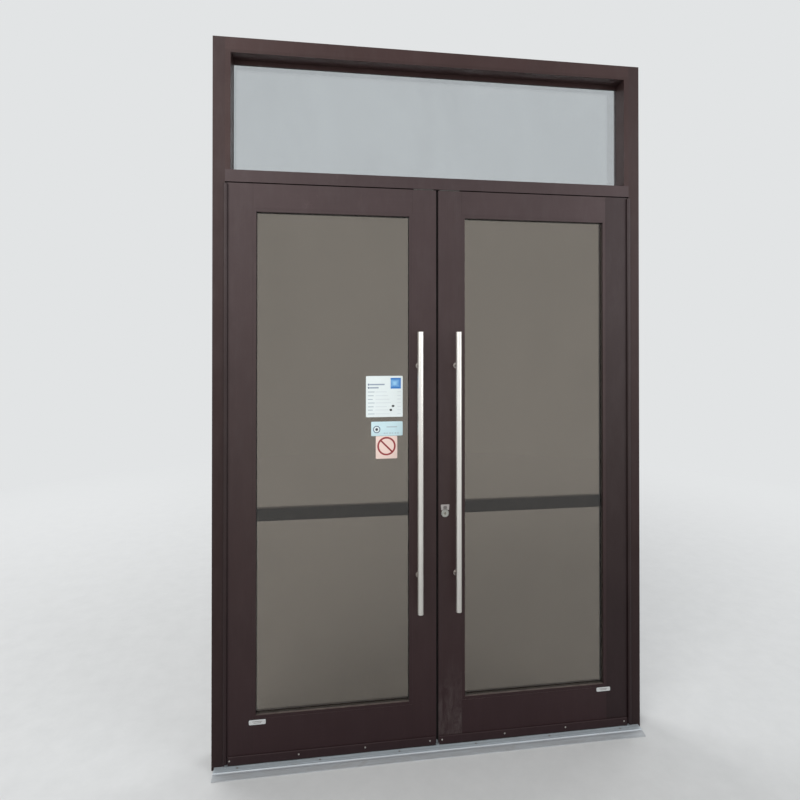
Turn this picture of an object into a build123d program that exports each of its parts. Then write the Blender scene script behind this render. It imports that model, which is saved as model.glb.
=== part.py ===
from build123d import *
from math import cos, radians, sin
import os

os.makedirs("parts", exist_ok=True)

# A pair of outswinging glazed aluminium doors in a tube frame with a transom light.
# +X is to the right seen from outside, -Y is outside, +Z is up.
# The origin is on the floor, at the middle of the frame's width and depth.

# frame
frame_face = 50.8
frame_depth = 114.3
tube_wall = 3.2
half_opening = 906.0
door_opening_height = 2443.0
transom_bar_height = 50.8
transom_opening = 506.5
head_height = 50.8
anchor_hole_radius = 5.0
anchor_access = 16.0
anchor_low_z = 300.0
anchor_below_top = 363.8
anchor_count = 4

# threshold
threshold_height = 12.7
threshold_width = 177.8
threshold_wall = 2.6
threshold_end_inset = 11.0
bay_pitch = 28.0
bay_rib = 4.0

# door stops and their weatherstrip
stop_projection = 16.0
stop_width = 17.0
stop_wall = 2.0
seal_thickness = 4.4
seal_base = 1.6
seal_width = 11.0
seal_slot = 3.2
seal_stem = 2.6
seal_stem_depth = 4.0
seal_crown = 4.0
seal_edge = 2.0

# leaves
leaf_thickness = 44.45
meeting_gap = 10.0
hinge_gap = 8.0
leaf_top_gap = 5.0
leaf_bottom_gap = 8.0
stile_width = 106.0
top_rail_height = 104.0
bottom_rail_height = 178.0
running_gap = 0.3
joint_gap = 0.2

# leaf glazing
bead_width = 14.0
bead_recess = 0.6
bead_wall = 1.6
bead_leg = 6.0
bead_foot_start = 6.0
leaf_glass_thickness = 16.0
leaf_pane = 5.0
leaf_gasket = 2.5
glass_edge_gap = 4.0
spacer_height = 7.0

# transom glazing
transom_glass_thickness = 16.0
transom_pane = 5.0
transom_gasket = 3.0
outer_stop_width = 22.0
outer_stop_depth = 72.0
head_stop_height = 13.0
head_lip = 17.0
lip_thickness = 5.0
transom_edge_gap = 6.0
sill_stop_height = 16.0
sill_foot = 12.0
sill_foot_thickness = 3.0
inner_stop_depth = 14.0
inner_stop_width = 14.0
gasket_width = 7.0
gasket_inset = 1.0

# geared continuous hinge
gear_pitch_radius = 3.0
gear_teeth = 12
tooth_half_width = 0.32
tooth_root_gap = 0.14
gear_offset = 5.0
cap_clearance = 0.3
cap_wall = 1.0
cap_lip = 1.0
hinge_plate = 3.0
hinge_plate_depth = 37.0
hinge_end_inset = 4.0

# pull bars
pull_diameter = 25.4
pull_length = 1210.0
pull_post_centres = 914.4
pull_post_diameter = 16.0
pull_axis_projection = 54.0
pull_from_edge = 79.0
pull_centre_z = 1221.0
escutcheon_diameter = 25.4
escutcheon_thickness = 3.0

# exit devices on the inside
device_centre_z = 1039.7
device_rail_height = 54.0
device_rail_depth = 25.0
device_wall = 3.0
device_hinge_overlap = 38.0
device_head_width = 60.0
device_head_height = 150.0
device_head_depth = 46.0
device_head_from_edge = 23.0
device_end_length = 15.0
pad_length = 450.0
pad_height = 46.0
pad_wall = 2.5
pad_gap = 0.5
pad_start = 24.0
pad_proud = 6.0
pad_back = 3.4

# top bolts of the exit devices
rod_radius = 4.0
bolt_radius = 6.0
bolt_length = 62.0
bolt_clearance = 0.08
guide_height = 50.0
strike_length = 90.0
strike_width = 30.0
strike_thickness = 2.0
strike_hole_length = 20.0
strike_hole_width = 16.0
strike_hole_margin = 2.0

# key cylinder
cylinder_from_edge = 29.5
cylinder_z = 1027.0
cylinder_radius = 14.6
cylinder_ring_radius = 17.0
cylinder_ring_proud = 4.5
cylinder_length = 25.0
plug_radius = 6.35
plug_clearance = 0.05
keyway_width = 2.2
keyway_height = 8.6
keyway_depth = 16.0

# bottom sweeps and meeting strip
sweep_height = 34.0
sweep_thickness = 5.0
sweep_end_inset = 3.0
sweep_slot = 2.6
sweep_seal_thickness = 2.4
meeting_strip_width = 9.0
meeting_strip_base = 1.6
meeting_pile_width = 5.0
meeting_pile_reach = 8.0

# levels and planes that follow from the sizes above
front_y = -frame_depth / 2
back_y = frame_depth / 2
opening_top_z = threshold_height + door_opening_height
transom_z0 = opening_top_z + transom_bar_height
transom_z1 = transom_z0 + transom_opening
frame_top_z = transom_z1 + head_height
anchor_pitch = (frame_top_z - anchor_below_top - anchor_low_z) / (anchor_count - 1)
leaf_back_y = front_y + leaf_thickness
leaf_mid_y = front_y + leaf_thickness / 2
leaf_z0 = threshold_height + leaf_bottom_gap
leaf_z1 = opening_top_z - leaf_top_gap
leaf_height = leaf_z1 - leaf_z0
leaf_edge_x = meeting_gap / 2
leaf_hinge_x = half_opening - hinge_gap
seal_face_y = leaf_back_y + running_gap
stop_front_y = seal_face_y + seal_thickness
axis_y = front_y - gear_offset
axis_mid_x = half_opening - hinge_gap / 2
frame_axis_x = axis_mid_x + gear_pitch_radius
leaf_axis_x = axis_mid_x - gear_pitch_radius
gear_root_radius = gear_pitch_radius - tooth_half_width - tooth_root_gap
cap_inner_radius = gear_pitch_radius + tooth_half_width + cap_clearance
cap_outer_radius = cap_inner_radius + cap_wall
hinge_z0 = leaf_z0 + hinge_end_inset
hinge_height = leaf_height - 2 * hinge_end_inset
stile_in_x = leaf_hinge_x - stile_width
stile_mid_x = leaf_edge_x + stile_width / 2
rail_x0 = leaf_edge_x + stile_width
light_z0 = leaf_z0 + bottom_rail_height
light_z1 = leaf_z1 - top_rail_height

exported = []


def save(part, label):
    part.label = label
    export_step(part, f"parts/{label}.step")
    exported.append(label)


def block(x0, x1, y0, y1, z0, z1, mode=Mode.ADD):
    with Locations(((x0 + x1) / 2, (y0 + y1) / 2, (z0 + z1) / 2)):
        Box(abs(x1 - x0), abs(y1 - y0), abs(z1 - z0), mode=mode)


def upright(x0, x1, y0, y1, z0, z1, wall):
    # an open-ended rectangular tube standing along Z
    with BuildSketch(Plane.XY.offset(z0)) as section:
        with Locations(((x0 + x1) / 2, (y0 + y1) / 2)):
            Rectangle(abs(x1 - x0), y1 - y0)
            Rectangle(abs(x1 - x0) - 2 * wall, y1 - y0 - 2 * wall, mode=Mode.SUBTRACT)
    extrude(section.sketch, amount=z1 - z0)


def crosswise(x0, x1, y0, y1, z0, z1, wall):
    # an open-ended rectangular tube lying along X
    with BuildSketch(Plane.YZ.offset(min(x0, x1))) as section:
        with Locations(((y0 + y1) / 2, (z0 + z1) / 2)):
            Rectangle(y1 - y0, z1 - z0)
            Rectangle(y1 - y0 - 2 * wall, z1 - z0 - 2 * wall, mode=Mode.SUBTRACT)
    extrude(section.sketch, amount=abs(x1 - x0))


def strips(x0, x1, z0, z1, width, y0, y1):
    # four straight strips that frame the rectangle x0..x1, z0..z1 on its inside
    block(x0, x0 + width, y0, y1, z0, z1)
    block(x1 - width, x1, y0, y1, z0, z1)
    block(x0 + width + joint_gap, x1 - width - joint_gap, y0, y1, z0, z0 + width)
    block(x0 + width + joint_gap, x1 - width - joint_gap, y0, y1, z1 - width, z1)


# jambs with anchor holes to the wall, hidden behind the stops and the glazing
def jamb(s):
    with BuildPart() as p:
        upright(s * half_opening, s * (half_opening + frame_face), front_y, back_y, 0, frame_top_z, tube_wall)
        for i in range(anchor_count):
            z = anchor_low_z + i * anchor_pitch
            with BuildSketch(Plane.YZ.offset(s * (half_opening + frame_face - tube_wall - 1))):
                with Locations((0, z)):
                    Circle(anchor_hole_radius)
            extrude(amount=s * (tube_wall + 2), mode=Mode.SUBTRACT)
            with BuildSketch(Plane.YZ.offset(s * (half_opening - 1))):
                with Locations((0, z)):
                    Rectangle(anchor_access, anchor_access)
            extrude(amount=s * (tube_wall + 2), mode=Mode.SUBTRACT)
    return p.part


# head tube between the jambs
with BuildPart() as head:
    crosswise(-half_opening, half_opening, front_y, back_y, transom_z1, frame_top_z, tube_wall)

# transom bar with a hole for each top bolt
with BuildPart() as transom_bar:
    crosswise(-half_opening, half_opening, front_y, back_y, opening_top_z, transom_z0, tube_wall)
    with BuildSketch(Plane.XY.offset(opening_top_z - 1)):
        with Locations((-stile_mid_x, leaf_mid_y), (stile_mid_x, leaf_mid_y)):
            Rectangle(strike_hole_length + 2 * strike_hole_margin, strike_hole_width + 2 * strike_hole_margin)
    extrude(amount=tube_wall + 2, mode=Mode.SUBTRACT)

# threshold: a fluted saddle on ribs, its nose running in front of the jambs
nose_y = back_y - threshold_width
with BuildPart() as threshold:
    with BuildSketch(Plane.YZ.offset(-half_opening)):
        with BuildLine():
            Polyline(
                (nose_y, 0),
                (nose_y, 3.0),
                (nose_y + 20, 8.2),
                (nose_y + 30, 8.2),
                (nose_y + 32, threshold_height),
                (back_y - 26, threshold_height),
                (back_y - 4, 3.0),
                (back_y, 3.0),
                (back_y, 0),
                close=True,
            )
        make_face()
    extrude(amount=2 * half_opening)
    # hollow bays under the top
    for i in range(-3, 1):
        bay_y0 = i * bay_pitch + bay_rib / 2
        block(-half_opening - 1, half_opening + 1, bay_y0, bay_y0 + bay_pitch - bay_rib, -1,
              threshold_height - threshold_wall, mode=Mode.SUBTRACT)
    block(-half_opening - 1, half_opening + 1, nose_y + 12, nose_y + 30, -1, 8.2 - threshold_wall - 1.4,
          mode=Mode.SUBTRACT)
    # flutes in the walking surface
    for i in range(7):
        flute_y = nose_y + 37 + i * 15
        block(-half_opening - 1, half_opening + 1, flute_y, flute_y + 3, threshold_height - 0.8,
              threshold_height + 1, mode=Mode.SUBTRACT)
    # the nose runs on in front of both jambs
    for s in (-1, 1):
        with BuildSketch(Plane.YZ.offset(s * half_opening)):
            with BuildLine():
                Polyline(
                    (nose_y, 0),
                    (nose_y, 3.0),
                    (nose_y + 20, 8.2),
                    (nose_y + 30, 8.2),
                    (nose_y + 32, threshold_height),
                    (front_y, threshold_height),
                    (front_y, 0),
                    close=True,
                )
            make_face()
        extrude(amount=s * (frame_face - threshold_end_inset))


# stops that the leaves close against: slotted tubes, u inwards from the frame, v from the slotted face
slot_mid_u = seal_edge + seal_width / 2
seal_mid_u = stop_projection - slot_mid_u


def stop_outline():
    return (
        (seal_mid_u - seal_slot / 2, 0),
        (0, 0),
        (0, stop_width),
        (stop_projection, stop_width),
        (stop_projection, 0),
        (seal_mid_u + seal_slot / 2, 0),
        (seal_mid_u + seal_slot / 2, stop_wall),
        (stop_projection - stop_wall, stop_wall),
        (stop_projection - stop_wall, stop_width - stop_wall),
        (stop_wall, stop_width - stop_wall),
        (stop_wall, stop_wall),
        (seal_mid_u - seal_slot / 2, stop_wall),
    )


# the weatherstrip: a stem in the slot, a flat base and a tapered crown towards the leaf
def seal_outline():
    return (
        (seal_mid_u - seal_stem / 2, seal_stem_depth),
        (seal_mid_u + seal_stem / 2, seal_stem_depth),
        (seal_mid_u + seal_stem / 2, 0),
        (seal_mid_u + seal_width / 2, 0),
        (seal_mid_u + seal_width / 2, -seal_base),
        (seal_mid_u + seal_crown / 2, -seal_thickness),
        (seal_mid_u - seal_crown / 2, -seal_thickness),
        (seal_mid_u - seal_width / 2, -seal_base),
        (seal_mid_u - seal_width / 2, 0),
        (seal_mid_u - seal_stem / 2, 0),
    )


def jamb_stop(s):
    with BuildPart() as p:
        with BuildSketch(Plane.XY.offset(threshold_height)):
            with BuildLine():
                Polyline(*[(s * (half_opening - u), stop_front_y + v) for u, v in stop_outline()], close=True)
            make_face()
        extrude(amount=opening_top_z - threshold_height)
    return p.part


with BuildPart() as header_stop:
    with BuildSketch(Plane.YZ.offset(-(half_opening - stop_projection))):
        with BuildLine():
            Polyline(*[(stop_front_y + v, opening_top_z - u) for u, v in stop_outline()], close=True)
        make_face()
    extrude(amount=2 * (half_opening - stop_projection))

with BuildPart() as stop_weatherstrip:
    for s in (-1, 1):
        with BuildSketch(Plane.XY.offset(threshold_height)):
            with BuildLine():
                Polyline(*[(s * (half_opening - u), stop_front_y + v) for u, v in seal_outline()], close=True)
            make_face()
        extrude(amount=opening_top_z - threshold_height - joint_gap)
    with BuildSketch(Plane.YZ.offset(-(half_opening - stop_projection) + joint_gap)):
        with BuildLine():
            Polyline(*[(stop_front_y + v, opening_top_z - u) for u, v in seal_outline()], close=True)
        make_face()
    extrude(amount=2 * (half_opening - stop_projection - joint_gap))

# transom glazing: outer stops, gaskets, sealed unit, inner stops
glass_half_x = half_opening - transom_edge_gap
glass_z0 = transom_z0 + transom_edge_gap
glass_z1 = transom_z1 - transom_edge_gap
glass_y0 = front_y + outer_stop_depth + transom_gasket
glass_y1 = glass_y0 + transom_glass_thickness
lip_y0 = front_y + outer_stop_depth - lip_thickness
lip_y1 = front_y + outer_stop_depth
sight_x = half_opening - outer_stop_width
head_sight_z = transom_z1 - head_stop_height - head_lip
sill_sight_z = transom_z0 + sill_stop_height
between_x = sight_x - joint_gap
inner_sight_x = half_opening - inner_stop_width
inner_between_x = inner_sight_x - joint_gap
inner_head_z = transom_z1 - inner_stop_width
inner_sill_z = transom_z0 + inner_stop_width

with BuildPart() as transom_panes:
    block(-glass_half_x, glass_half_x, glass_y0, glass_y0 + transom_pane, glass_z0, glass_z1)
    block(-glass_half_x, glass_half_x, glass_y1 - transom_pane, glass_y1, glass_z0, glass_z1)

with BuildPart() as transom_spacer:
    strips(-glass_half_x + 2, glass_half_x - 2, glass_z0 + 2, glass_z1 - 2, spacer_height,
           glass_y0 + transom_pane, glass_y1 - transom_pane)

with BuildPart() as transom_gaskets:
    for y0, edge_x, low_z, top_z in ((lip_y1, sight_x, sill_sight_z, head_sight_z),
                                     (glass_y1, inner_sight_x, inner_sill_z, inner_head_z)):
        y1 = y0 + transom_gasket
        gasket_x = edge_x + gasket_inset
        gasket_z0 = low_z - gasket_inset - gasket_width
        gasket_z1 = top_z + gasket_inset + gasket_width
        for s in (-1, 1):
            block(s * gasket_x, s * (gasket_x + gasket_width), y0, y1, gasket_z0, gasket_z1)
        inner_x = gasket_x - joint_gap
        block(-inner_x, inner_x, y0, y1, gasket_z0, gasket_z0 + gasket_width)
        block(-inner_x, inner_x, y0, y1, gasket_z1 - gasket_width, gasket_z1)

with BuildPart() as transom_outer_stops:
    for s in (-1, 1):
        upright(s * sight_x, s * half_opening, front_y, lip_y1, transom_z0, transom_z1, stop_wall)
    # along the head a box with a hanging lip, along the sill an angle
    crosswise(-between_x, between_x, front_y, lip_y0, transom_z1 - head_stop_height, transom_z1, stop_wall)
    block(-between_x, between_x, lip_y0, lip_y1, head_sight_z, transom_z1)
    block(-between_x, between_x, lip_y0, lip_y1, transom_z0, sill_sight_z)
    block(-between_x, between_x, lip_y0 - sill_foot, lip_y0, transom_z0, transom_z0 + sill_foot_thickness)

inner_y0 = glass_y1 + transom_gasket
inner_y1 = inner_y0 + inner_stop_depth
with BuildPart() as transom_inner_stops:
    for s in (-1, 1):
        upright(s * inner_sight_x, s * half_opening, inner_y0, inner_y1, transom_z0, transom_z1, stop_wall)
    crosswise(-inner_between_x, inner_between_x, inner_y0, inner_y1, inner_head_z, transom_z1, stop_wall)
    crosswise(-inner_between_x, inner_between_x, inner_y0, inner_y1, transom_z0, inner_sill_z, stop_wall)

# strikes under the transom bar
with BuildPart() as header_strikes:
    for s in (-1, 1):
        with BuildSketch(Plane.XY.offset(opening_top_z - strike_thickness)):
            with Locations((s * stile_mid_x, leaf_mid_y)):
                Rectangle(strike_length, strike_width)
                Rectangle(strike_hole_length, strike_hole_width, mode=Mode.SUBTRACT)
        extrude(amount=strike_thickness)


# geared continuous hinge: round-nosed teeth on two equal pitch circles
def gear_sketch(x, direction, angles):
    with Locations((x, axis_y)):
        Circle(gear_root_radius)
    for a in angles:
        turned = a if direction > 0 else 180 - a
        ax = radians(turned)
        mid = (gear_root_radius - 0.4 + gear_pitch_radius) / 2
        length = gear_pitch_radius - gear_root_radius + 0.4
        with Locations(Location((x + mid * cos(ax), axis_y + mid * sin(ax)), turned)):
            Rectangle(length, 2 * tooth_half_width)
        with Locations((x + gear_pitch_radius * cos(ax), axis_y + gear_pitch_radius * sin(ax))):
            Circle(tooth_half_width)


tooth_pitch = 360 / gear_teeth


# the fixed half: its teeth point inwards from the jamb, one of them on the line of centres
def hinge_frame_leaf(s):
    with BuildPart() as p:
        with BuildSketch(Plane.XY.offset(hinge_z0)):
            gear_sketch(s * frame_axis_x, -s, [i * -tooth_pitch for i in range(-1, 4)])
            with Locations((s * (half_opening - hinge_plate / 2), (axis_y + front_y + hinge_plate_depth) / 2)):
                Rectangle(hinge_plate, front_y + hinge_plate_depth - axis_y)
        extrude(amount=hinge_height)
    return p.part


# the swinging half: its teeth sit half a pitch off, in the gaps of the fixed half
def hinge_leaf(s):
    with BuildPart() as p:
        with BuildSketch(Plane.XY.offset(hinge_z0)):
            gear_sketch(s * leaf_axis_x, s, [tooth_pitch / 2 - i * tooth_pitch for i in range(4)])
            with Locations((s * (leaf_hinge_x + hinge_plate / 2), (axis_y + front_y + hinge_plate_depth) / 2)):
                Rectangle(hinge_plate, front_y + hinge_plate_depth - axis_y)
        extrude(amount=hinge_height)
    return p.part


# the cover channel that holds both halves in mesh
def hinge_cap(s):
    with BuildPart() as p:
        with BuildSketch(Plane.XY.offset(hinge_z0)):
            with Locations((s * axis_mid_x, axis_y)):
                SlotCenterToCenter(2 * gear_pitch_radius, 2 * cap_outer_radius)
                SlotCenterToCenter(2 * gear_pitch_radius, 2 * cap_inner_radius, mode=Mode.SUBTRACT)
            with Locations((s * axis_mid_x, axis_y + cap_lip + cap_outer_radius)):
                Rectangle(4 * cap_outer_radius, 2 * cap_outer_radius, mode=Mode.SUBTRACT)
        extrude(amount=hinge_height)
    return p.part


# leaf framing
def hinge_stile(s):
    with BuildPart() as p:
        upright(s * stile_in_x, s * leaf_hinge_x, front_y, leaf_back_y, leaf_z0, leaf_z1, tube_wall)
    return p.part


def lock_stile(s):
    with BuildPart() as p:
        upright(s * leaf_edge_x, s * (leaf_edge_x + stile_width), front_y, leaf_back_y, leaf_z0, leaf_z1,
                tube_wall)
        # pull bolts go through the outer wall
        with BuildSketch(Plane.XZ.offset(-front_y - 1 - tube_wall)):
            with Locations(*[(s * (leaf_edge_x + pull_from_edge), pull_centre_z + k * pull_post_centres / 2)
                             for k in (-1, 1)]):
                Circle(4.0)
        extrude(amount=tube_wall + 2, mode=Mode.SUBTRACT)
        # the exit device works through a window in the inner wall
        block(s * (stile_mid_x - 12), s * (stile_mid_x + 12), leaf_back_y - tube_wall - 1, leaf_back_y + 1,
              device_centre_z - 40, device_centre_z + 40, mode=Mode.SUBTRACT)
        if s > 0:
            with BuildSketch(Plane.XZ.offset(-front_y - 1 - tube_wall)):
                with Locations((leaf_edge_x + cylinder_from_edge, cylinder_z)):
                    Circle(cylinder_radius)
            extrude(amount=tube_wall + 2, mode=Mode.SUBTRACT)
    return p.part


def top_rail(s):
    with BuildPart() as p:
        crosswise(s * rail_x0, s * stile_in_x, front_y, leaf_back_y, light_z1, leaf_z1, tube_wall)
    return p.part


def bottom_rail(s):
    with BuildPart() as p:
        crosswise(s * rail_x0, s * stile_in_x, front_y, leaf_back_y, leaf_z0, light_z0, tube_wall)
    return p.part


# leaf glazing
pane_y0 = leaf_mid_y - leaf_glass_thickness / 2
pane_y1 = leaf_mid_y + leaf_glass_thickness / 2
light_x0 = min(rail_x0, stile_in_x)
light_x1 = max(rail_x0, stile_in_x)


def across(s, x0, x1):
    return (x0, x1) if s > 0 else (-x1, -x0)


def leaf_panes(s):
    x0, x1 = across(s, light_x0 + glass_edge_gap, light_x1 - glass_edge_gap)
    with BuildPart() as p:
        block(x0, x1, pane_y0, pane_y0 + leaf_pane, light_z0 + glass_edge_gap, light_z1 - glass_edge_gap)
        block(x0, x1, pane_y1 - leaf_pane, pane_y1, light_z0 + glass_edge_gap, light_z1 - glass_edge_gap)
    return p.part


def leaf_spacer(s):
    x0, x1 = across(s, light_x0 + glass_edge_gap + 2, light_x1 - glass_edge_gap - 2)
    with BuildPart() as p:
        strips(x0, x1, light_z0 + glass_edge_gap + 2, light_z1 - glass_edge_gap - 2, spacer_height,
               pane_y0 + leaf_pane, pane_y1 - leaf_pane)
    return p.part


def leaf_gaskets(s):
    x0, x1 = across(s, light_x0 + glass_edge_gap + 1, light_x1 - glass_edge_gap - 1)
    with BuildPart() as p:
        for y0 in (pane_y0 - leaf_gasket, pane_y1):
            strips(x0, x1, light_z0 + glass_edge_gap + 1, light_z1 - glass_edge_gap - 1,
                   bead_width - glass_edge_gap - 1.6, y0, y0 + leaf_gasket)
    return p.part


# snap-in beads: u from the framing towards the light, v from the visible face towards the glass
bead_depth = pane_y0 - leaf_gasket - front_y - bead_recess


def bead_outline():
    return (
        (0, 0),
        (bead_width, 0),
        (bead_width, bead_depth),
        (bead_foot_start, bead_depth),
        (bead_foot_start, bead_depth - bead_wall),
        (bead_width - bead_wall, bead_depth - bead_wall),
        (bead_width - bead_wall, bead_wall),
        (2 * bead_wall, bead_wall),
        (2 * bead_wall, bead_leg),
        (bead_wall, bead_leg + bead_wall),
        (bead_wall, bead_wall),
        (0, bead_wall),
    )


def leaf_beads(s):
    x0, x1 = across(s, light_x0, light_x1)
    inner_x0 = x0 + bead_width + joint_gap
    inner_x1 = x1 - bead_width - joint_gap
    with BuildPart() as p:
        for face_y, inward in ((front_y + bead_recess, 1), (leaf_back_y - bead_recess, -1)):
            for edge_x, towards in ((x0, 1), (x1, -1)):
                with BuildSketch(Plane.XY.offset(light_z0)):
                    with BuildLine():
                        Polyline(*[(edge_x + towards * u, face_y + inward * v) for u, v in bead_outline()],
                                 close=True)
                    make_face()
                extrude(amount=light_z1 - light_z0)
            for edge_z, towards in ((light_z0, 1), (light_z1, -1)):
                with BuildSketch(Plane.YZ.offset(inner_x0)):
                    with BuildLine():
                        Polyline(*[(face_y + inward * v, edge_z + towards * u) for u, v in bead_outline()],
                                 close=True)
                    make_face()
                extrude(amount=inner_x1 - inner_x0)
    return p.part


# pull bar standing off the lock stile on two posts
def pull_x(s):
    return s * (leaf_edge_x + pull_from_edge)


def pull_bar(s):
    with BuildPart() as p:
        with BuildSketch(Plane.XY.offset(pull_centre_z - pull_length / 2)):
            with Locations((pull_x(s), front_y - pull_axis_projection)):
                Circle(pull_diameter / 2)
        extrude(amount=pull_length)
        chamfer(p.faces().sort_by(Axis.Z)[-1].edges() + p.faces().sort_by(Axis.Z)[0].edges(), length=0.6)
    return p.part


def pull_posts(s):
    with BuildPart() as p:
        for k in (-1, 1):
            z = pull_centre_z + k * pull_post_centres / 2
            with BuildSketch(Plane.XZ.offset(-front_y)):
                with Locations((pull_x(s), z)):
                    Circle(pull_post_diameter / 2)
            extrude(amount=pull_axis_projection)
            with BuildSketch(Plane.XZ.offset(-front_y)):
                with Locations((pull_x(s), z)):
                    Circle(escutcheon_diameter / 2)
            extrude(amount=escutcheon_thickness)
        # saddled to the bar
        with BuildSketch(Plane.XY.offset(pull_centre_z - pull_length / 2)):
            with Locations((pull_x(s), front_y - pull_axis_projection)):
                Circle(pull_diameter / 2)
        extrude(amount=pull_length, mode=Mode.SUBTRACT)
    return p.part


# exit device: head case, rail, end cap, push pad
head_x0 = leaf_edge_x + device_head_from_edge
head_x1 = head_x0 + device_head_width
device_x1 = stile_in_x + device_hinge_overlap
rail_front_y = leaf_back_y + device_rail_depth
pad_x0 = head_x1 + pad_start
pad_x1 = pad_x0 + pad_length


def exit_head(s):
    x0, x1 = across(s, head_x0, head_x1)
    with BuildPart() as p:
        block(x0, x1, leaf_back_y, leaf_back_y + device_head_depth, device_centre_z - device_head_height / 2,
              device_centre_z + device_head_height / 2)
        chamfer(p.faces().sort_by(Axis.Y)[-1].edges(), length=7)
        # hollow from the back
        block(x0 + device_wall, x1 - device_wall, leaf_back_y - 1, leaf_back_y + device_head_depth - 10,
              device_centre_z - device_head_height / 2 + 8, device_centre_z + device_head_height / 2 - 8,
              mode=Mode.SUBTRACT)
    return p.part


def exit_rail(s):
    x0, x1 = across(s, head_x1, device_x1)
    w0, w1 = across(s, pad_x0, pad_x1)
    with BuildPart() as p:
        crosswise(x0, x1, leaf_back_y, rail_front_y, device_centre_z - device_rail_height / 2,
                  device_centre_z + device_rail_height / 2, device_wall)
        block(w0, w1, rail_front_y - device_wall - 1, rail_front_y + 1,
              device_centre_z - pad_height / 2 - pad_gap, device_centre_z + pad_height / 2 + pad_gap,
              mode=Mode.SUBTRACT)
    return p.part


def exit_end_cap(s):
    x0, x1 = across(s, device_x1, device_x1 + device_end_length)
    with BuildPart() as p:
        block(x0, x1, leaf_back_y, rail_front_y + 3, device_centre_z - device_rail_height / 2 - 1.5,
              device_centre_z + device_rail_height / 2 + 1.5)
        chamfer(p.faces().sort_by(Axis.Y)[-1].edges(), length=5)
    return p.part


def push_pad(s):
    x0, x1 = across(s, pad_x0 + pad_gap, pad_x1 - pad_gap)
    with BuildPart() as p:
        block(x0, x1, leaf_back_y + pad_back, rail_front_y + pad_proud, device_centre_z - pad_height / 2,
              device_centre_z + pad_height / 2)
        front = p.faces().sort_by(Axis.Y)[-1]
        fillet(front.edges().filter_by(Axis.X), radius=4)
        block(x0 + pad_wall, x1 - pad_wall, leaf_back_y + pad_back - 1, rail_front_y + pad_proud - pad_wall,
              device_centre_z - pad_height / 2 + pad_wall, device_centre_z + pad_height / 2 - pad_wall,
              mode=Mode.SUBTRACT)
    return p.part


# concealed rod and bolt in the lock stile, with their guide
bolt_top_z = leaf_z1 - 1


def top_bolt(s):
    with BuildPart() as p:
        with BuildSketch(Plane.XY.offset(device_centre_z + 20)):
            with Locations((s * stile_mid_x, leaf_mid_y)):
                Circle(rod_radius)
        extrude(amount=bolt_top_z - bolt_length - device_centre_z - 20)
        with BuildSketch(Plane.XY.offset(bolt_top_z - bolt_length)):
            with Locations((s * stile_mid_x, leaf_mid_y)):
                Circle(bolt_radius)
        extrude(amount=bolt_length)
        chamfer(p.faces().sort_by(Axis.Z)[-1].edges(), length=2.5)
    return p.part


def bolt_guide(s):
    inner_x0, inner_x1 = across(s, leaf_edge_x + tube_wall, leaf_edge_x + stile_width - tube_wall)
    with BuildPart() as p:
        block(inner_x0, inner_x1, front_y + tube_wall, leaf_back_y - tube_wall, leaf_z1 - guide_height - 1,
              leaf_z1 - 1)
        with BuildSketch(Plane.XY.offset(leaf_z1 - guide_height - 2)):
            with Locations((s * stile_mid_x, leaf_mid_y)):
                Circle(bolt_radius + bolt_clearance)
        extrude(amount=guide_height + 3, mode=Mode.SUBTRACT)
    return p.part


# key cylinder of the right leaf
cylinder_x = leaf_edge_x + cylinder_from_edge
with BuildPart() as key_cylinder:
    with BuildSketch(Plane.XZ.offset(-front_y)):
        with Locations((cylinder_x, cylinder_z)):
            Circle(cylinder_ring_radius)
    extrude(amount=cylinder_ring_proud)
    chamfer(key_cylinder.faces().sort_by(Axis.Y)[0].edges(), length=1.2)
    with BuildSketch(Plane.XZ.offset(-front_y)):
        with Locations((cylinder_x, cylinder_z)):
            Circle(cylinder_radius)
    extrude(amount=-cylinder_length)
    with BuildSketch(Plane.XZ.offset(-front_y + cylinder_ring_proud + 1)):
        with Locations((cylinder_x, cylinder_z)):
            Circle(plug_radius + plug_clearance)
    extrude(amount=-(cylinder_length + cylinder_ring_proud + 2), mode=Mode.SUBTRACT)

with BuildPart() as key_plug:
    with BuildSketch(Plane.XZ.offset(-front_y + cylinder_ring_proud + 0.4)):
        with Locations((cylinder_x, cylinder_z)):
            Circle(plug_radius)
    extrude(amount=-(cylinder_length + cylinder_ring_proud - 1))
    with BuildSketch(Plane.XZ.offset(-front_y + cylinder_ring_proud + 1)):
        with Locations((cylinder_x, cylinder_z)):
            Rectangle(keyway_width, keyway_height)
    extrude(amount=-keyway_depth, mode=Mode.SUBTRACT)


# sweep at the foot of each leaf: a slotted carrier and its seal
sweep_z0 = threshold_height + 5
seal_tip_z = threshold_height + running_gap


def sweep_carrier(s):
    x0, x1 = across(s, leaf_edge_x + sweep_end_inset, leaf_axis_x - cap_outer_radius - sweep_end_inset)
    mid_y = front_y - sweep_thickness / 2
    with BuildPart() as p:
        block(x0, x1, front_y - sweep_thickness, front_y, sweep_z0, sweep_z0 + sweep_height)
        chamfer(p.edges().filter_by(Axis.X).group_by(Axis.Z)[-1].sort_by(Axis.Y)[0], length=2)
        block(x0 - 1, x1 + 1, mid_y - sweep_slot / 2, mid_y + sweep_slot / 2, sweep_z0 - 1, sweep_z0 + 10,
              mode=Mode.SUBTRACT)
    return p.part


def sweep_seal(s):
    x0, x1 = across(s, leaf_edge_x + sweep_end_inset, leaf_axis_x - cap_outer_radius - sweep_end_inset)
    mid_y = front_y - sweep_thickness / 2
    with BuildPart() as p:
        block(x0, x1, mid_y - sweep_seal_thickness / 2, mid_y + sweep_seal_thickness / 2, seal_tip_z,
              sweep_z0 + 10)
    return p.part


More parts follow.
